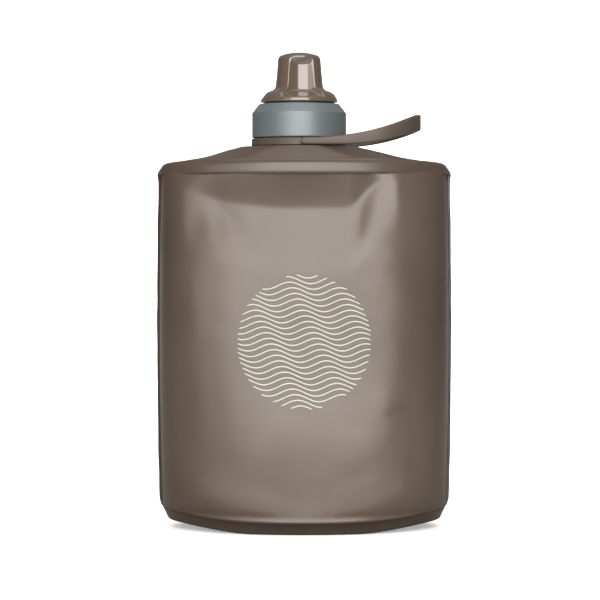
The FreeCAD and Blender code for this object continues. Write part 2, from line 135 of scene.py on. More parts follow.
def slack(x, z, seed):
    """How far the film stands out from the plain oval, in metres."""
    x_mm, z_mm = x / MM, z / MM
    side = np.abs(x_mm) / 50.0
    valley = VALLEY_HEIGHT + VALLEY_CURL * np.clip(12.0 - x_mm, 0.0, None) ** 4
    valley = valley + VALLEY_LIFT * smooth(14.0, 26.0, x_mm)
    above = 1 - 0.95 * np.clip((z_mm - valley) / (VALLEY_END - valley), 0.0, 1.0) ** 1.25
    below = smooth(valley - VALLEY_START, valley + 2.0, z_mm)
    out = -VALLEY_DEPTH * above * below * smooth(-50.0, -28.0, x_mm) * (1 - smooth(18.0, 33.0, x_mm))
    seam = seam_height(side) / MM
    out += BULGE * np.exp(-((z_mm - BULGE_HEIGHT) / BULGE_SPREAD) ** 2) * (1 - side ** 4)
    out += FLARE * np.clip(1 - (z_mm - seam) / FLARE_RISE, 0.0, 1.0) ** 2 * (1 - smooth(0.45, 0.8, side))
    for cx, cz, wide, tall, depth, slant in DENTS:
        across, up = x_mm - cx, z_mm - cz - slant * (x_mm - cx)
        out -= depth * np.exp(-((across / wide) ** 2) - (up / tall) ** 2)
    fade = 1 - smooth(0.93, 1.0, side)
    out += fade * (BROAD_CREASE * ripple(x_mm, z_mm * 0.7, BROAD_SIZE, seed)
                   + FINE_CREASE * ripple(x_mm, z_mm, FINE_SIZE, seed + 9.0))
    return out * MM


def film_depth(x, z, seed):
    """How far the film's outer side stands from the middle plane."""
    half_width, half_depth = bag_oval(z)
    full = fullness(z)
    drop = np.clip(1 - np.abs(x / half_width) ** full, 0, 1) ** (1 / full)
    return half_depth * drop + slack(x, z, seed) * drop ** 0.6


def skin(name, grid, around=False, along=False, poles=False):
    """A mesh over a grid of points [row][column]. around joins the last column to the first, along joins the
    last row to the first, and poles closes the first and last rows."""
    grid = np.asarray(grid, float)
    rows, cols = grid.shape[:2]
    index = np.arange(rows * cols).reshape(rows, cols)
    faces = []
    for i in range(rows if along else rows - 1):
        a, b = index[i], index[(i + 1) % rows]
        for j in range(cols if around else cols - 1):
            k = (j + 1) % cols
            faces.append((a[j], a[k], b[k], b[j]))
    if poles:
        faces.append(tuple(index[0][::-1]))
        faces.append(tuple(index[-1]))
    mesh = bpy.data.meshes.new(name)
    mesh.from_pydata([tuple(p) for p in grid.reshape(-1, 3)], [], [tuple(int(v) for v in f) for f in faces])
    mesh.validate()
    piece = bpy.data.objects.new(name, mesh)
    bpy.context.scene.collection.objects.link(piece)
    tidy_normals(piece)
    return piece


def tidy_normals(piece):
    """Smooth shading, with the faces of a closed piece turned outwards."""
    mesh = piece.data
    mesh.calc_loop_triangles()
    corners = np.zeros(3 * len(mesh.loop_triangles), int)
    mesh.loop_triangles.foreach_get("vertices", corners)
    points = np.zeros(3 * len(mesh.vertices))
    mesh.vertices.foreach_get("co", points)
    a, b, c = points.reshape(-1, 3)[corners.reshape(-1, 3)].transpose(1, 0, 2)
    if np.einsum("ij,ij->", a, np.cross(b, c)) < 0:
        mesh.flip_normals()
    mesh.polygons.foreach_set("use_smooth", [True] * len(mesh.polygons))
    mesh.update()


def thickened(name, outer, inner):
    """A closed film from its outer and inner grids of points."""
    outer, inner = np.asarray(outer, float), np.asarray(inner, float)
    loop = np.concatenate([outer, inner[::-1]], 0)
    piece = skin(name, loop, along=True)
    rows, cols = loop.shape[:2]
    half = rows // 2
    mesh = piece.data
    points = [tuple(v.co) for v in mesh.vertices]
    faces = [tuple(p.vertices) for p in mesh.polygons]
    for column in (0, cols - 1):
        for i in range(half - 1):
            j = rows - 1 - i
            faces.append(tuple(row * cols + column for row in (i, i + 1, j - 1, j)))
    mesh.clear_geometry()
    mesh.from_pydata(points, [], faces)
    mesh.validate()
    tidy_normals(piece)
    return piece


def wall_grid(face, inside, columns=181, rows=150):
    """Points of one wall film, weld strip to weld strip, on its outer or its inner side."""
    angle = np.linspace(-math.pi / 2, math.pi / 2, columns)
    share, up = np.meshgrid(np.sin(angle), np.linspace(0, 1, rows))
    low = seam_height(share)
    z = low + (wall_high + WALL_TUCK - low) * up
    half_width, half_depth = bag_oval(z)
    x = half_width * share
    hem = HEM * np.exp(-((z - low) / HEM_HEIGHT) ** 2)
    depth = film_depth(x, z, FILM_SEED[face]) + (hem - (FILM if inside else 0.0)) * np.cos(angle)[None, :]
    floor = 0.02 * MM if inside else WELD_THICKNESS
    depth = floor + np.logaddexp(0.0, (depth - floor) / WELD_BLEND) * WELD_BLEND
    depth = np.maximum(depth - (0.1 * MM if inside else 0.0), floor)
    x = x - (FILM * share if inside else 0.0)
    height = z[:, :1] / MM
    uneven = 0.9 + 0.14 * ripple(height, height, WELD_NOTCH, 5.0)
    uneven = uneven + 0.35 * np.exp(-((height - 123.0) / 1.6) ** 2)
    uneven = uneven * smooth(6.6, 10.5, height) ** 0.5 * (1 - 0.8 * smooth(123.4, 126.4, height))
    reach = half_width[:, :1] + SIDE_WELD * uneven
    tips = [np.stack([s * reach, np.full((rows, 1), floor), z[:, :1]], -1) for s in (-1, 1)]
    middle = np.stack([x, depth, z], -1)
    grid = np.concatenate([tips[0], middle, tips[1]], 1)
    grid[..., 1] *= face
    grid[..., 0] += BAG_LEAN
    return grid


# One group gives every moulded or cast part its grain: a tight noise for the bump, and a broad one as a mask.
def new_group(name, inputs, outputs):
    """An empty shader node group with these sockets: (name, type, default) in, (name, type) out."""
    group = bpy.data.node_groups.new(name, "ShaderNodeTree")
    for label, kind, default in inputs:
        socket = group.interface.new_socket(name=label, in_out="INPUT", socket_type=kind)
        socket.default_value = default
    for label, kind in outputs:
        group.interface.new_socket(name=label, in_out="OUTPUT", socket_type=kind)
    group.nodes.new("NodeGroupInput")
    group.nodes.new("NodeGroupOutput")
    return group


def wire(tree, *pairs):
    """Links each pair of sockets."""
    for a, b in pairs:
        tree.links.new(a, b)


def grain_group():
    """Fine moulded or cast grain: Height for a bump, and Mask, 0 to 1, for colour and gloss."""
    group = new_group("grain", [("Scale", "NodeSocketFloat", 900.0), ("Softness", "NodeSocketFloat", 0.5)],
                      [("Height", "NodeSocketFloat"), ("Mask", "NodeSocketFloat")])
    source, sink = group.nodes["Group Input"], group.nodes["Group Output"]
    place = group.nodes.new("ShaderNodeTexCoord")
    fine = group.nodes.new("ShaderNodeTexNoise")
    fine.inputs["Detail"].default_value = 3.0
    broad = group.nodes.new("ShaderNodeTexNoise")
    broad.inputs["Detail"].default_value = 2.0
    broad.inputs["Scale"].default_value = 60.0
    mix = group.nodes.new("ShaderNodeMath")
    mix.operation = "MULTIPLY_ADD"
    mix.inputs[1].default_value = 0.25
    wire(group,
         (place.outputs["Object"], fine.inputs["Vector"]),
         (place.outputs["Object"], broad.inputs["Vector"]),
         (source.outputs["Scale"], fine.inputs["Scale"]),
         (source.outputs["Softness"], fine.inputs["Roughness"]),
         (broad.outputs["Fac"], mix.inputs[0]), (fine.outputs["Fac"], mix.inputs[2]),
         (mix.outputs[0], sink.inputs["Height"]), (broad.outputs["Fac"], sink.inputs["Mask"]))
    return group


grain = grain_group()


def place_group(tree, group, **values):
    """Puts a node group in a material, with its inputs set."""
    node = tree.nodes.new("ShaderNodeGroup")
    node.node_tree = group
    for label, value in values.items():
        node.inputs[label].default_value = value
    return node


def tint(tree, mask, dark, light):
    """A colour between two, by a mask."""
    mix = tree.nodes.new("ShaderNodeMix")
    mix.data_type = "RGBA"
    mix.inputs["A"].default_value = (*dark, 1)
    mix.inputs["B"].default_value = (*light, 1)
    tree.links.new(mask, mix.inputs["Factor"])
    return mix.outputs["Result"]


def spread(tree, value, low, high, to_low, to_high):
    """Maps a value from one range to another."""
    node = tree.nodes.new("ShaderNodeMapRange")
    for label, number in (("From Min", low), ("From Max", high), ("To Min", to_low), ("To Max", to_high)):
        node.inputs[label].default_value = number
    tree.links.new(value, node.inputs["Value"])
    return node.outputs["Result"]


def bump(tree, height, strength, distance, shader):
    """A bump from a height, into a shader's normal."""
    node = tree.nodes.new("ShaderNodeBump")
    node.inputs["Strength"].default_value = strength
    node.inputs["Distance"].default_value = distance
    wire(tree, (height, node.inputs["Height"]), (node.outputs["Normal"], shader.inputs["Normal"]))


def new_material(name, **values):
    """A material with one Principled BSDF. Underscores in the names of values stand for spaces."""
    material = bpy.data.materials.new(name)
    material.use_nodes = True
    shader = material.node_tree.nodes["Principled BSDF"]
    for label, value in values.items():
        shader.inputs[label.replace("_", " ")].default_value = value
    return material, material.node_tree, shader


def film_material(name, dark, light, weld_and_shade_dark):
    """Smoky cast film: cloudy in tone, with a satin skin. A stored mask darkens it where two films are welded
    together, and with painted shade where the film turns from the light, under the bag and near the neck.
    """
    material, tree, shader = new_material(
        name, Specular_IOR_Level=0.55, Coat_Weight=0.3, Coat_Roughness=0.3, Subsurface_Weight=0.1,
        Subsurface_Radius=(0.004, 0.003, 0.0024), Subsurface_Scale=0.6,
    )
    speck = place_group(tree, grain, Scale=1500.0, Softness=0.55)
    cloud = tree.nodes.new("ShaderNodeTexNoise")
    cloud.inputs["Scale"].default_value = 22.0
    cloud.inputs["Detail"].default_value = 3.0
    place = tree.nodes.new("ShaderNodeTexCoord")
    # The stored mask mixes in the darkest tone: part weld colour, part painted shade.
    weld_and_shade = tree.nodes.new("ShaderNodeAttribute")
    weld_and_shade.attribute_name = "weld_and_shade"
    body = tint(tree, spread(tree, cloud.outputs["Fac"], 0.35, 0.65, 0.0, 1.0), dark, light)
    mix = tree.nodes.new("ShaderNodeMix")
    mix.data_type = "RGBA"
    mix.inputs["B"].default_value = (*weld_and_shade_dark, 1)
    wire(tree, (place.outputs["Object"], cloud.inputs["Vector"]), (body, mix.inputs["A"]),
         (weld_and_shade.outputs["Fac"], mix.inputs["Factor"]), (mix.outputs["Result"], shader.inputs["Base Color"]),
         (spread(tree, speck.outputs["Mask"], 0.3, 0.7, 0.28, 0.36), shader.inputs["Roughness"]))
    bump(tree, speck.outputs["Height"], 0.16, 0.00006, shader)
    return material


FILM_DARK, FILM_LIGHT = (0.080, 0.057, 0.044), (0.096, 0.070, 0.055)
# The darkest film tone: weld colour, and painted shade laid on the wall's sides, the base and around the
# neck.
FILM_WELD_AND_SHADE = (0.050, 0.036, 0.028)
film_finish = film_material("smoky_film", FILM_DARK, FILM_LIGHT, FILM_WELD_AND_SHADE)


def mark_welds_and_shade(piece, rule):
    """Stores how dark each point is, 0 to 1, from welds and painted shade, by a rule of x, y and z in
    millimetres.
    """
    co = np.array([v.co for v in piece.data.vertices]) / MM
    attribute = piece.data.attributes.new("weld_and_shade", "FLOAT", "POINT")
    attribute.data.foreach_set("value", np.clip(rule(co[:, 0], co[:, 1], co[:, 2]), 0, 1).astype(np.float32))


def wall_weld_and_shade(x, y, z):
    """Darker in the side welds, and painted shade slowly darkening towards the sides, where the film stands
    edge-on and turns away from the light.
    """
    side = np.abs(x - BAG_LEAN / MM)
    return 0.35 * smooth(36.0, 50.0, side) + 0.15 * smooth(49.8, 50.6, side)


for name, face in (("front_film", -1), ("back_film", 1)):
    film = thickened(name, wall_grid(face, False), wall_grid(face, True))
    film.data.materials.append(film_finish)
    mark_welds_and_shade(film, wall_weld_and_shade)
    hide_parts("front_panel" if face < 0 else "back_panel")
    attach(film, "bag")
    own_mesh(film)

# ---------------------------------------------------------------- printed wave patch
# A plain round patch of wavy lines, screen-printed on the front film in pale ink.

PATCH_RADIUS = 23.0 * MM
PATCH_HEIGHT = 66.0 * MM
LINE_PITCH = 1.9 * MM
LINE_WIDTH = 0.42 * MM
WAVE_HEIGHT = 1.2 * MM
WAVE_LENGTH = 16.0 * MM
INK = 0.05 * MM


def on_front(x, z, lift):
    """Points on the front film's outer side, or lifted off it."""
    return np.stack([x + BAG_LEAN, -film_depth(x, z, FILM_SEED[-1]) - lift, z], -1)


def wave(x, row):
    """Height of one wavy line above its row."""
    return WAVE_HEIGHT * np.sin(2 * math.pi * x / WAVE_LENGTH + 0.35 * row)


def print_lines():
    """Every line of the patch as one mesh of thin closed strips."""
    strips = []
    rows = int(PATCH_RADIUS / LINE_PITCH)
    for row in range(-rows, rows + 1):
        x = np.arange(-PATCH_RADIUS, PATCH_RADIUS, 0.4 * MM)
        inside = np.hypot(x, row * LINE_PITCH + wave(x, row)) < PATCH_RADIUS
        if inside.sum() < 10:
            continue
        x = np.linspace(x[inside].min(), x[inside].max(), int(inside.sum()))
        ends = np.minimum(x - x[0], x[-1] - x)
        taper = np.clip(ends / LINE_WIDTH, 0.25, 1.0) ** 0.5
        middle = PATCH_HEIGHT + row * LINE_PITCH + wave(x, row)
        ring = [(-1, 2.4), (1, 2.4), (1, 0.2), (-1, 0.2)]
        strips.append([on_front(x, middle + s * LINE_WIDTH * taper / 2, up * INK) for s, up in ring])
    pieces = [skin(f"print_line_{n}", np.transpose(np.array(s), (1, 0, 2)), around=True, poles=True)
              for n, s in enumerate(strips)]
    joined = pieces[0]
    with bpy.context.temp_override(active_object=joined, object=joined, selected_editable_objects=pieces):
        bpy.ops.object.join()
    joined.name = joined.data.name = "front_print"
    return joined


def ink_material(name, dark, light):
    """Pale matte ink, thin enough in places for the film to show through."""
    material, tree, shader = new_material(name, Specular_IOR_Level=0.35)
    speck = place_group(tree, grain, Scale=2600.0, Softness=0.7)
    wire(tree, (tint(tree, speck.outputs["Height"], dark, light), shader.inputs["Base Color"]),
         (spread(tree, speck.outputs["Mask"], 0.3, 0.7, 0.5, 0.62), shader.inputs["Roughness"]))
    bump(tree, speck.outputs["Height"], 0.15, 0.00003, shader)
    return material


front_print = print_lines()
front_print.data.materials.clear()
front_print.data.materials.append(ink_material("pale_ink", (0.40, 0.43, 0.38), (0.56, 0.59, 0.53)))
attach(front_print, "bag")
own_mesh(front_print)

# ---------------------------------------------------------------- base film
# One formed film: an oval foot that is flat in the middle, with ends that lift a little off the table, and a
# rounded edge up to the seam, where a lap is welded inside the wall.

FOOT_LIFT = 3.0 * MM
FOOT_FLAT, FOOT_END = 17.0, 51.0        # in mm from the middle, where the foot starts to lift, and its end
FOOT_HOLLOW = 0.35 * MM                 # the middle of the foot stands this far off the table
EDGE_INSET = 3.0                        # in mm, from the seam in to the foot's own edge
EDGE_PROFILE = (                        # inset in mm, share of the drop from the seam to the foot
    (EDGE_INSET, 1.0), (2.2, 0.985), (1.9, 0.93), (1.65, 0.83), (1.3, 0.66), (0.9, 0.46), (0.5, 0.27),
    (0.15, 0.1), (0.0, 0.02),
)
LAP_PROFILE = (                         # inset and height above the seam in mm, up the lap and down again
    (0.35, 0.25), (0.85, 0.45), (0.9, 1.4), (0.9, 2.6), (1.0, 3.0), (1.6, 3.0), (1.7, 2.6), (1.7, 0.4),
)


def foot_height(x):
    """Height of the underside above the table."""
    return FOOT_LIFT * smooth(FOOT_FLAT, FOOT_END, np.abs(x) / MM)


def base_rings():
    """Rings of the base film: from the middle of its underside, round its edge and lap, and back inside."""
    angle = np.linspace(0, 2 * math.pi, 240, endpoint=False)
    c, s = np.cos(angle), np.sin(angle)
    width, depth = foot_weld
    seam = seam_height(c)

    def foot_ring(share, inset, thick):
        x, y = (width - inset) * share * c, (depth - inset) * share * s
        return x, y, foot_height(x) + thick + FOOT_HOLLOW * smooth(0.95, 0.2, share) * np.ones_like(x)

    def edge_ring(inset, down, thick):
        x, y = (width - inset) * c, (depth - inset) * s
        foot = foot_height(x) + thick
        return x, y, foot + (seam - foot) * (1 - down)

    shares = np.linspace(0.01, 0.97, 30)
    rings = [foot_ring(share, EDGE_INSET * MM, 0.0) for share in shares]
    rings += [edge_ring(inset * MM, down, 0.0) for inset, down in EDGE_PROFILE]
    for inset, up in LAP_PROFILE:
        rings.append(((width - inset * MM) * c, (depth - inset * MM) * s, seam + up * MM))
    rings += [edge_ring(inset * MM + FILM, down, FILM) for inset, down in EDGE_PROFILE[::-1]]
    rings += [foot_ring(share, EDGE_INSET * MM + FILM, FILM) for share in shares[::-1]]
    grid = np.array([np.stack(r, -1) for r in rings])
    grid[..., 0] += BAG_LEAN
    return grid


base_film = skin("base_film", base_rings(), around=True, poles=True)
base_film.data.materials.append(film_finish)
# Painted shade: the whole base film, which faces down, is darkened, and more towards its two lifting ends.
mark_welds_and_shade(base_film, lambda x, y, z: 0.55 + 0.35 * smooth(44.0, 49.0, np.abs(x - BAG_LEAN / MM)))
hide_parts("base_panel")
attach(base_film, "bag")

# ---------------------------------------------------------------- shoulder film
# A second formed film closes the top: a rolled lip welded over the wall's upper edge, then a low tent up to
# the flat land that the neck is welded under.

RIM_MIDDLE = 127.4 * MM                 # top of the lip at the front, and at the two ends of the oval
RIM_ENDS = 126.2 * MM
LIP_MIDDLE = 4.1 * MM                   # height of the lip there
LIP_ENDS = 3.1 * MM
LAND_RADIUS = 20.6 * MM
land_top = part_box("top_panel")[1].z
neck_hole = 12.3 * MM
LIP_PROFILE = (                         # how far it stands out in mm, share of the lip's height
    (-0.55, 0.0), (0.1, -0.03), (0.42, 0.02), (0.52, 0.1), (0.50, 0.25), (0.40, 0.45), (0.27, 0.65),
    (0.10, 0.82), (-0.12, 0.94), (-0.40, 0.99), (-0.66, 0.97), (-0.95, 1.02), (-1.4, 1.12),
)
LAND_RINGS = (19.9, 19.0, 17.0, 14.0)   # in mm
TENT_SAG = 0.55 * MM                    # towards the two ends of the oval
TENT_CROWN = 0.3 * MM                   # just inside the lip
TENT_WRINKLE, WRINKLE_SIZE = 0.22 * MM, 9.0


def shoulder_rings():
    """Rings of the shoulder film: up over the lip and the tent to the neck's hole, and back underneath."""
    angle = np.linspace(0, 2 * math.pi, 320, endpoint=False)
    c, s = np.cos(angle), np.sin(angle)
    middle = 1 - np.abs(c) ** 3.6
    rim = RIM_ENDS + (RIM_MIDDLE - RIM_ENDS) * middle
    lip = LIP_ENDS + (LIP_MIDDLE - LIP_ENDS) * middle
    width, depth = rim_weld
    ends = np.exp(-((np.abs(c) - 1.0) / 0.05) ** 2)
    flush = 1 - 0.75 * smooth(0.66, 0.86, np.abs(c))
    top, under = [], []
    for out, share in LIP_PROFILE:
        z = rim - lip + lip * share
        stand = out * flush + (1.05 - 1.15 * share) * ends
        x, y = (width + stand * MM) * c + BAG_LEAN, (depth + stand * MM) * s
        top.append(np.stack([x, y, z], -1))
        inner = (min(out, 0.3) - 0.9) * MM
        x, y = (width + inner) * c + BAG_LEAN, (depth + inner) * s
        under.append(np.stack([x, y, z - (FILM if share > 0.9 else 0)], -1))
    start = top[-1]
    for t in np.linspace(0.04, 1.0, 34):
        land = np.stack([LAND_RADIUS * c, LAND_RADIUS * s, np.full_like(c, land_top)], -1)
        line = start * (1 - t) + land * t
        sag = -TENT_SAG * np.sin(math.pi * t) ** 2 * np.abs(c) ** 2
        crown = TENT_CROWN * np.exp(-((t - 0.05) / 0.05) ** 2)
        wrinkle = TENT_WRINKLE * ripple(line[:, 0] / MM, line[:, 1] / MM, WRINKLE_SIZE, 2.0)
        wrinkle = wrinkle * math.sin(math.pi * t) ** 0.7
        line[:, 2] += sag + crown + wrinkle - 0.5 * MM * smooth(0.86, 1.0, t) * (1 - t) * 6
        top.append(line)
        lower = line.copy()
        lower[:, 2] -= FILM
        under.append(lower)
    for radius in LAND_RINGS:
        top.append(np.stack([radius * MM * c, radius * MM * s, np.full_like(c, land_top)], -1))
        under.append(top[-1] - np.array([0, 0, FILM]))
    top.append(np.stack([neck_hole * c, neck_hole * s, np.full_like(c, land_top)], -1))
    under.append(top[-1] - np.array([0, 0, FILM]))
    return np.array(top + under[::-1])


shoulder_film = skin("shoulder_film", shoulder_rings(), around=True, along=True)
shoulder_film.data.materials.append(film_finish)
# The shoulder film is a little darker all over, and painted shade darkens it towards the neck, under the
# collar and ring.
mark_welds_and_shade(shoulder_film, lambda x, y, z: 0.35 + 0.4 * smooth(24.0, 18.0, np.hypot(x, y)))
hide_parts("top_panel")
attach(shoulder_film, "shoulder")

# ---------------------------------------------------------------- neck
# A moulded fitment in a stiffer grade of the same plastic, welded under the shoulder film. The collar hides
# its thread until it is unscrewed.


def moulded_material(name, dark, light, rough):
    """Moulded plastic or elastomer with a fine spark-eroded grain and slightly uneven gloss."""
    material, tree, shader = new_material(name, Specular_IOR_Level=0.5)
    speck = place_group(tree, grain, Scale=1800.0, Softness=0.6)
    gloss = spread(tree, speck.outputs["Mask"], 0.3, 0.7, rough - 0.05, rough + 0.05)
    wire(tree, (tint(tree, speck.outputs["Mask"], dark, light), shader.inputs["Base Color"]),
         (gloss, shader.inputs["Roughness"]))
    bump(tree, speck.outputs["Height"], 0.2, 0.00005, shader)
    return material


def finish_node(node, material):
    """Gives a CAD node its finish."""
    piece = frame["nodes"][node]
    piece.data.materials.clear()
    piece.data.materials.append(material)
    return piece


neck_finish = moulded_material("neck_plastic", (0.085, 0.063, 0.050), (0.105, 0.080, 0.064), 0.38)
finish_node("neck_fitment", neck_finish)

# ---------------------------------------------------------------- handle ring and bail
# Soft-touch elastomer over a stiffer core. The ring turns on the neck, and the bail's legs snap onto its two
# trunnions. The bail is a band that gets taller and curves up towards its far end.

BAIL_THICKNESS = 2.4 * MM
BAIL_ROUND = 0.62 * MM
BAIL_END_RISE = 5.3 * MM
BAIL_STRAIGHT = 12.0 * MM
bail_low, bail_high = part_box("bail_handle")
ring_low, ring_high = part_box("handle_ring")[0].z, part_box("handle_ring")[1].z
pivot = Vector(next(j for j in frame["joints"] if j["name"] == "bail_swing")["pos_m"])
bail_middle = bail_high.y - BAIL_THICKNESS / 2          # from the middle plane to the middle of a leg
bend = bail_high.x - bail_high.y                        # where the legs end and the round end starts


def risen(x, start_x, start_z, rise):
    """Height at x of an arc that leaves start level and has climbed by rise at the bail's far end."""
    run = bail_high.x - start_x
    radius = (run * run + rise * rise) / (2 * rise)
    along = max(x - start_x, 0.0)
    return start_z + radius - math.sqrt(radius * radius - along * along)


def bail_edges(x):
    """Lower and upper edge of the band at x."""
    half = (ring_high - ring_low) / 2
    if x < pivot.x:
        tall = math.sqrt(max(half * half - (pivot.x - x) ** 2, 0.0))
        return pivot.z - tall, pivot.z + tall
    low = risen(x, pivot.x + BAIL_STRAIGHT, ring_low, BAIL_END_RISE)
    return low, risen(x, pivot.x, ring_high, bail_high.z - ring_high)


def rounded_box(half_wide, low, high, radius, steps=5):
    """Outline of an upright box with rounded corners, as (across, height)."""
    radius = min(radius, half_wide * 0.98, (high - low) * 0.49)
    outline = []
    corners = ((1, high, 0), (-1, high, 90), (-1, low, 180), (1, low, 270))
    for side, z, first in corners:
        centre_z = z - radius if z == high else z + radius
        for k in range(steps + 1):
            turn = math.radians(first + 90 * k / steps)
            across = side * (half_wide - radius) + radius * math.cos(turn)
            outline.append((across, centre_z + radius * math.sin(turn)))
    return outline


def bail_rings():
    """Sections of the band, from one leg's rounded nose round to the other's."""
    stations = []
    turns = np.linspace(0.02, math.pi / 2, 9)
    nose = [pivot.x - math.cos(turn) * (pivot.x - bail_low.x) * 0.995 for turn in turns]
    leg = list(np.linspace(pivot.x, bend, 26))[1:]
    for x in nose + leg:
        stations.append((x, -bail_middle, 0.0, -1.0))
    for turn in np.linspace(-math.pi / 2, math.pi / 2, 62)[1:-1]:
        out_x, out_y = math.cos(turn), math.sin(turn)
        stations.append((bend + bail_middle * out_x, bail_middle * out_y, out_x, out_y))
    for x in (nose + leg)[::-1]:
        stations.append((x, bail_middle, 0.0, 1.0))
    rings = []
    for x, y, out_x, out_y in stations:
        low, high = bail_edges(x + out_x * BAIL_THICKNESS / 2 if out_x > 0 else x)
        section = rounded_box(BAIL_THICKNESS / 2, low, high, BAIL_ROUND)
        rings.append([(x + across * out_x, y + across * out_y, z) for across, z in section])
    return rings


strap_finish = moulded_material("strap_elastomer", (0.066, 0.050, 0.040), (0.088, 0.068, 0.055), 0.46)
finish_node("handle_ring", strap_finish)
bail = skin("bail_strap", bail_rings(), around=True, poles=True)
bail.data.materials.append(strap_finish)
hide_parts("bail_handle")
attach(bail, "bail")

# ---------------------------------------------------------------- seals
# Two flat black rings: one on the neck's lip inside the collar, one under the cap's flange.

seal_finish = moulded_material("seal_rubber", (0.012, 0.012, 0.013), (0.022, 0.021, 0.021), 0.55)
finish_node("neck_gasket", seal_finish)
finish_node("cap_seal", seal_finish)

# ---------------------------------------------------------------- collar
# A threaded collar with a bevelled top, in a satin metallic blue-grey.

COLLAR_EDGE = 0.6 * MM                  # its moulded edges are a little rounded


def collar_material():
    """Satin metallic lacquer: fine flakes, and a gloss made slightly uneven by handling."""
    material, tree, shader = new_material(
        "satin_blue_grey", Metallic=0.45, Coat_Weight=0.15, Coat_Roughness=0.28,
    )
    speck = place_group(tree, grain, Scale=3200.0, Softness=0.7)
    flakes = tint(tree, speck.outputs["Height"], (0.146, 0.176, 0.196), (0.208, 0.244, 0.268))
    handled = tint(tree, speck.outputs["Mask"], (0.90, 0.90, 0.90), (1.0, 1.0, 1.0))
    both = tree.nodes.new("ShaderNodeMix")
    both.data_type = "RGBA"
    both.blend_type = "MULTIPLY"
    both.inputs["Factor"].default_value = 1.0
    wire(tree, (flakes, both.inputs["A"]), (handled, both.inputs["B"]),
         (both.outputs["Result"], shader.inputs["Base Color"]),
         (spread(tree, speck.outputs["Mask"], 0.3, 0.7, 0.42, 0.52), shader.inputs["Roughness"]))
    bump(tree, speck.outputs["Height"], 0.1, 0.00003, shader)
    edge = tree.nodes.new("ShaderNodeBevel")
    edge.samples = 8
    edge.inputs["Radius"].default_value = COLLAR_EDGE
    tree.links.new(edge.outputs["Normal"], tree.nodes["Bump"].inputs["Normal"])
    return material


finish_node("collar", collar_material())

# ---------------------------------------------------------------- cap and its stem
# A glossy moulded cap: a round flange that slopes up to a domed knob with three soft flutes for the fingers.
# The threaded stem is a separate plug, welded inside.

FLUTE_RADIUS = 7.0 * MM
FLUTE_AXIS = 12.3 * MM
FLUTE_TURN = math.radians(-83)          # one flute faces the front, a little to the right
FLUTE_BLEND = 1.3 * MM
cap_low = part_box("cap")[0].z
FLUTE_FOOT, FLUTE_HEAD = (1.0, 4.7), (13.0, 16.1)       # in mm, where a flute fades in and out
CAP_INSIDE = (                          # radius and height above the flange's underside, in mm
    (0.0, 15.1), (3.3, 15.1), (3.4, 15.0), (3.4, 3.0), (6.65, 3.0), (6.65, 0.05), (6.8, 0.0),
)
CAP_OUTSIDE = (                         # the same, and the rounding of the corner
    (13.5, 0.0, 0.2), (13.35, 1.0, 0.6), (12.2, 3.2, 1.6), (8.5, 4.5, 1.4), (8.05, 8.5, 2.0),
    (7.45, 15.5, 1.0), (6.4, 16.45, 0.7), (3.9, 17.1, 1.0), (1.8, 17.4, 0.8), (0.01, 17.45, 0.0),
)


def rounded_line(corners, steps=7):
    """The line through (radius, height, rounding) corners, with each corner rounded by a quadratic curve."""
    line = [np.array(corners[0][:2])]
    for before, here, after in zip(corners, corners[1:], corners[2:]):
        p, q, r = (np.array(c[:2]) for c in (before, here, after))
        cut_in = q + (p - q) * min(here[2] / np.linalg.norm(p - q), 0.5)
        cut_out = q + (r - q) * min(here[2] / np.linalg.norm(r - q), 0.5)
        for t in np.linspace(0, 1, steps):
            line.append((1 - t) ** 2 * cut_in + 2 * t * (1 - t) * q + t * t * cut_out)
    line.append(np.array(corners[-1][:2]))
    dense = []
    for p, q in zip(line, line[1:]):
        count = max(1, int(np.linalg.norm(q - p) / 0.28))
        dense += [p + (q - p) * k / count for k in range(count)]
    return dense + [line[-1]]


def flute_share(z):
    """How fully a flute is cut at a height above the flange's underside: it runs out into flange and dome."""
    return smooth(*FLUTE_FOOT, z) * (1 - smooth(*FLUTE_HEAD, z))


def cap_rings():
    """Rings of the cap: from the roof of its hollow, out under the flange, and up over the knob."""
    angle = np.linspace(0, 2 * math.pi, 360, endpoint=False)
    rings = [(np.full_like(angle, max(r, 0.01)), z) for r, z in CAP_INSIDE]
    across = (angle - FLUTE_TURN + math.pi / 3) % (2 * math.pi / 3) - math.pi / 3
    blend = FLUTE_BLEND / MM
    for r, z in rounded_line(CAP_OUTSIDE):
        radius = np.full_like(angle, r)
        inside = FLUTE_RADIUS ** 2 - (FLUTE_AXIS * np.sin(across)) ** 2
        near = (FLUTE_AXIS * np.cos(across) - np.sign(inside) * np.sqrt(np.abs(inside))) / MM
        near = np.where(np.abs(across) < math.pi / 3 + 0.01, near, 99.0)
        h = np.clip(0.5 + 0.5 * (near - radius) / blend, 0, 1)
        cut = near * (1 - h) + radius * h - blend * h * (1 - h)
        radius = radius + (cut - radius) * flute_share(z)
        rings.append((radius, z))
    c, s = np.cos(angle), np.sin(angle)
    return [np.stack([r * MM * c, r * MM * s, np.full_like(angle, cap_low + z * MM)], -1) for r, z in rings]


def cap_material():
    """Polished plastic: a deep, almost even colour under a clear gloss."""
    material, tree, shader = new_material(
        "gloss_cap", Specular_IOR_Level=0.9, Coat_Weight=1.0, Coat_Roughness=0.04,
    )
    speck = place_group(tree, grain, Scale=500.0, Softness=0.4)
    wire(tree, (tint(tree, speck.outputs["Mask"], (0.098, 0.070, 0.055), (0.122, 0.090, 0.072)),
                shader.inputs["Base Color"]),
         (spread(tree, speck.outputs["Mask"], 0.3, 0.7, 0.12, 0.20), shader.inputs["Roughness"]))
    bump(tree, speck.outputs["Height"], 0.05, 0.00004, shader)
    return material


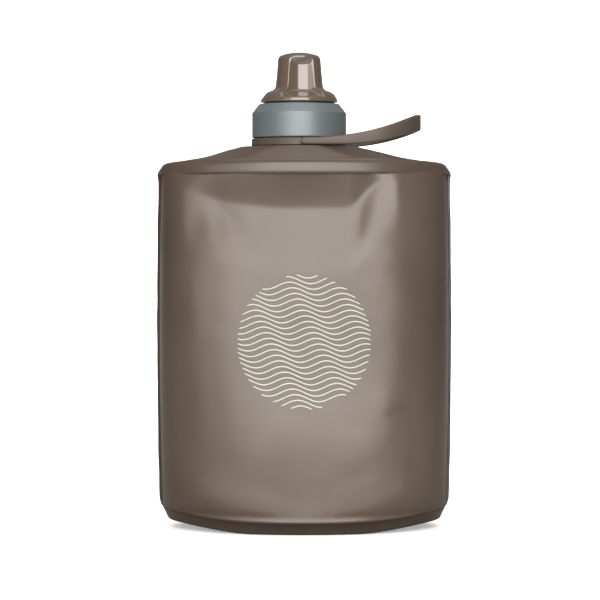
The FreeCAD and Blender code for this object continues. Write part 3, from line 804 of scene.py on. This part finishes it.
cap = skin("cap_shell", cap_rings(), around=True, poles=True)
cap.data.materials.append(cap_material())
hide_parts("cap")
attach(cap, "cap")
stem_finish = moulded_material("stem_plastic", (0.078, 0.057, 0.045), (0.095, 0.071, 0.057), 0.4)
finish_node("cap_stem", stem_finish)

# ---------------------------------------------------------------- studio
# A plain pale sweep in a dark room. One large soft light stands in front, a dimmer one to its left, and one
# hangs overhead. A fourth, behind, fills the back, and a small one on the floor stands for a bounce card.

FLOOR_FRONT, FLOOR_BACK = -1.15, 0.6
SWEEP_DEPTH = 0.8                       # radius of the curve up into the backdrop
SWEEP_HALF_WIDTH = 1.8
WARM_WHITE = (1.0, 0.965, 0.91)
BACKDROP_TOP = 3.0


def sweep():
    """Floor that curves up into a backdrop."""
    profile = [(FLOOR_FRONT, 0.0), (FLOOR_BACK, 0.0)]
    for turn in np.linspace(0.1, math.pi / 2, 16):
        y = FLOOR_BACK + SWEEP_DEPTH * math.sin(turn)
        profile.append((y, SWEEP_DEPTH - SWEEP_DEPTH * math.cos(turn)))
    profile.append((FLOOR_BACK + SWEEP_DEPTH, BACKDROP_TOP))
    across = np.linspace(-SWEEP_HALF_WIDTH, SWEEP_HALF_WIDTH, 9)
    piece = skin("studio_sweep", [[(x, y, z) for x in across] for y, z in profile])
    piece.data.materials.append(paper_material())
    return piece


def paper_material():
    """White paper to the camera, and grey to the light that bounces off it."""
    material, tree, shader = new_material(
        "studio_paper", Roughness=0.9, Specular_IOR_Level=0.05, Emission_Strength=1.0,
    )
    ray = tree.nodes.new("ShaderNodeLightPath")
    wire(tree, (tint(tree, ray.outputs["Is Camera Ray"], (0.20, 0.195, 0.19), (0.85, 0.85, 0.85)),
                shader.inputs["Base Color"]),
         (tint(tree, ray.outputs["Is Camera Ray"], (0.0, 0.0, 0.0), (0.35, 0.35, 0.35)),
          shader.inputs["Emission Color"]))
    return material


def softbox(name, place, aim, wide, tall, radiance, glints=True):
    """A rectangular soft light at place, aimed at a point. glints says whether glossy surfaces mirror it."""
    light = bpy.data.lights.new(name, "AREA")
    light.shape = "RECTANGLE"
    light.size, light.size_y = wide, tall
    light.energy = radiance * math.pi * wide * tall
    light.color = WARM_WHITE
    lamp = bpy.data.objects.new(name, light)
    lamp.location = place
    lamp.rotation_euler = (Vector(aim) - Vector(place)).to_track_quat("-Z", "Y").to_euler()
    lamp.visible_camera = False
    lamp.visible_glossy = glints
    bpy.context.scene.collection.objects.link(lamp)


sweep()
softbox("front", (0.07, -1.2, 0.82), (0.07, 0, 0.82), 1.26, 1.62, 4.7)
softbox("front_left", (-1.0, -1.2, 0.5), (-1.0, 0, 0.5), 0.86, 0.98, 1.7)
softbox("overhead", (0.05, -0.15, 1.15), (0.05, -0.05, 0), 0.9, 0.8, 1.0)
softbox("back", (0.0, 0.95, 0.75), (0.0, 0, 0.08), 1.2, 0.9, 4.5, glints=False)
softbox("bounce", (0.0, -0.105, 0.004), (0.0, -0.105, 1.0), 0.14, 0.13, 1.15)

world = bpy.data.worlds.new("studio")
world.use_nodes = True
backdrop = world.node_tree.nodes["Background"]
backdrop.inputs["Color"].default_value = (1, 0.98, 0.95, 1)
ray = world.node_tree.nodes.new("ShaderNodeLightPath")
seen = spread(world.node_tree, ray.outputs["Is Camera Ray"], 0.0, 1.0, 0.0, 0.5)
dim = spread(world.node_tree, ray.outputs["Is Glossy Ray"], 0.0, 1.0, 0.55, 0.06)
total = world.node_tree.nodes.new("ShaderNodeMath")
wire(world.node_tree, (seen, total.inputs[0]), (dim, total.inputs[1]),
     (total.outputs[0], backdrop.inputs["Strength"]))
bpy.context.scene.world = world
bpy.context.scene.view_settings.view_transform = "Standard"

CAMERA_SIDE = 0.0003
CAMERA_DISTANCE = 0.857
CAMERA_HEIGHT = 0.106
AIM_HEIGHT = 0.0793
FRAME_WIDTH = 0.210                     # how wide a strip of the bag's middle plane the picture takes in
camera_data = bpy.data.cameras.new("camera")
camera_data.sensor_width = 36.0
camera_data.lens = camera_data.sensor_width * CAMERA_DISTANCE / FRAME_WIDTH
camera = bpy.data.objects.new("camera", camera_data)
camera.location = (CAMERA_SIDE, -CAMERA_DISTANCE, CAMERA_HEIGHT)
line_of_sight = Vector((CAMERA_SIDE, 0, AIM_HEIGHT)) - camera.location
camera.rotation_euler = line_of_sight.to_track_quat("-Z", "Y").to_euler()
bpy.context.scene.collection.objects.link(camera)
bpy.context.scene.camera = camera
